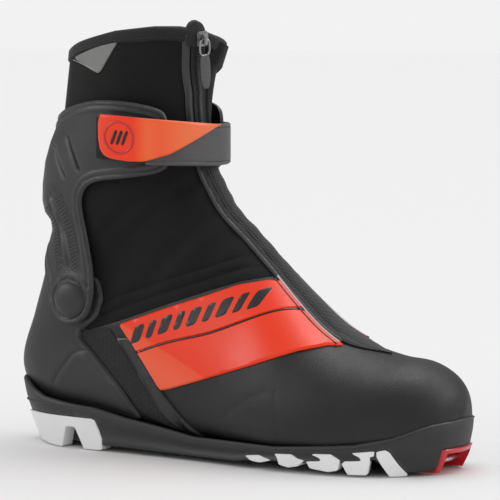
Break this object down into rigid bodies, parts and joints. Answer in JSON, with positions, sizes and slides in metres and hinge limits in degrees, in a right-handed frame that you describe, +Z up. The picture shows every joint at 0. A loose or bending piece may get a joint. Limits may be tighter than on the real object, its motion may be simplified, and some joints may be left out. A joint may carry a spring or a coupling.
{
  "type": "cross country skate boot",
  "caption": "Low shoe with a hinged rigid cuff, zipped softshell gaiter, ankle strap, lugged sole and a steel binding bar in a toe notch; right foot.",
  "frame": {"origin": "on the ground under the middle of the boot's box", "axes": "+X to the toe, +Y to the medial (inner) side, +Z up"},
  "size_m": [0.3029, 0.1069, 0.2521],
  "materials": {
    "upper_laminate": "satin",
    "softshell": "matt",
    "lining": "matt",
    "webbing_black": "matt",
    "counter_plastic": "satin",
    "cuff_plastic": "matt",
    "orange_panel": "satin",
    "facing_black": "satin",
    "mesh_black": "matt",
    "sole_rubber": "satin",
    "tread_white": "satin",
    "insert_red": "gloss",
    "steel": "polished",
    "shank_carbon": "satin",
    "strap_webbing": "matt",
    "reflective": "satin"
  },
  "bodies": {
    "boot": {"vamp": "upper_laminate", "gaiter_lower_lateral": "softshell", "gaiter_lower_medial": "softshell", "tongue": "softshell", "eyestay_lateral": "webbing_black", "eyestay_medial": "webbing_black", "lace_cover": "softshell", "inner_boot": "lining", "footbed": "lining", "heel_counter": "counter_plastic", "quarter_panel_lateral": "orange_panel", "facing_lateral": "facing_black", "mesh_band_lateral": "mesh_black", "quarter_panel_medial": "orange_panel", "facing_medial": "facing_black", "mesh_band_medial": "mesh_black", "outsole": "sole_rubber", "heel_tread": "tread_white", "forefoot_tread_lateral": "tread_white", "forefoot_tread_medial": "tread_white", "toe_insert": "insert_red", "binding_bar": "steel", "shank": "shank_carbon", "pivot_bolt_lateral": "steel", "pivot_cap_lateral": "cuff_plastic", "pivot_bolt_medial": "steel", "pivot_cap_medial": "cuff_plastic"},
    "cuff": {"cuff": "cuff_plastic", "cuff_padding": "lining", "gaiter_upper": "softshell", "collar_rim": "webbing_black", "reflective_patch": "reflective", "zipper_tape": "webbing_black", "zipper_teeth": "strap_webbing", "pivot_bush_lateral": "steel", "pivot_bush_medial": "steel", "strap_pin": "steel", "strap_anchor": "counter_plastic", "hook_pad": "webbing_black"},
    "strap": {"strap_band": "strap_webbing", "strap_pull": "orange_panel"},
    "slider": {"zip_slider": "steel"},
    "pull": {"pull_loop": "steel", "pull_tab": "strap_webbing"}
  },
  "joints": [
    {"name": "cuff_flex", "type": "hinge", "parent": "boot", "child": "cuff", "pos_m": [-0.094, 0, 0.091], "axis": [0, 1, 0], "range_deg": [-3, 15]},
    {"name": "strap_swing", "type": "hinge", "parent": "cuff", "child": "strap", "pos_m": [-0.05, 0.0495, 0.184], "axis": [0, 0, 1], "range_deg": [0, 100]},
    {"name": "zip_slide", "type": "slide", "parent": "cuff", "child": "slider", "axis": [-0.1436, 0.2445, -0.9589], "range_m": [0, 0.034]},
    {"name": "pull_hinge", "type": "hinge", "parent": "slider", "child": "pull", "pos_m": [-0.01224, -0.01645, 0.24656], "axis": [-0.4887, -0.8601, -0.1462], "range_deg": [0, 140]}
  ]
}
